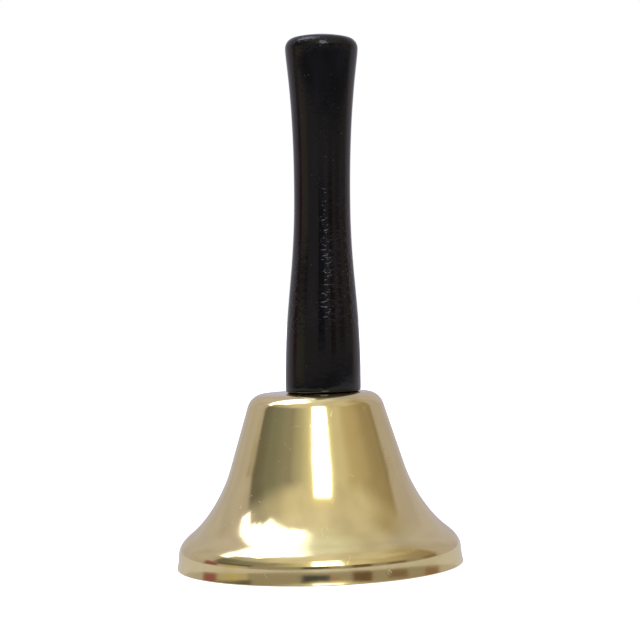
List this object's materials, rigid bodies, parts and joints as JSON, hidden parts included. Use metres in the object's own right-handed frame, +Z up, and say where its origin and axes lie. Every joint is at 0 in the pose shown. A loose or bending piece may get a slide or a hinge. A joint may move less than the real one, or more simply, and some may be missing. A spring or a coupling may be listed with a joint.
{
  "type": "hand bell",
  "caption": "Flared brass hand bell on a turned black lacquered wooden handle, with a clapper that swings on a swivelling yoke inside.",
  "frame": {"origin": "middle of the rim's plane, where the bell stands on a table", "axes": "+Z up the bell's axis towards the handle; +X towards the side that the handle leans to; +Y towards the back"},
  "size_m": [0.08, 0.08, 0.1479],
  "materials": {
    "polished_brass": "polished, pale gold, clear and slightly soft reflections",
    "black_lacquer": "turned hardwood under gloss black lacquer",
    "zinc_plate": "bright zinc plate on pressed steel",
    "turned_brass": "plain turned brass, fine tool lines",
    "bright_steel": "bright turned steel, fine turning marks"
  },
  "bodies": {
    "bell": {"bell_shell": "polished_brass", "handle": "black_lacquer", "handle_screw": "zinc_plate", "crown_washer": "zinc_plate", "swivel_bush": "turned_brass", "retaining_washer": "zinc_plate"},
    "yoke": {"clapper_yoke": "zinc_plate", "pivot_pin": "bright_steel"},
    "clapper": {"clapper_rod": "bright_steel", "clapper_ball": "bright_steel"}
  },
  "joints": [
    {"name": "clapper_swivel", "type": "hinge", "parent": "bell", "child": "yoke", "pos_m": [0, 0, 0.04505], "axis": [0, 0, 1], "continuous": true},
    {"name": "clapper_swing", "type": "hinge", "parent": "yoke", "child": "clapper", "pos_m": [0, 0, 0.0372], "axis": [0, 1, 0], "range_deg": [-42, 42]}
  ]
}
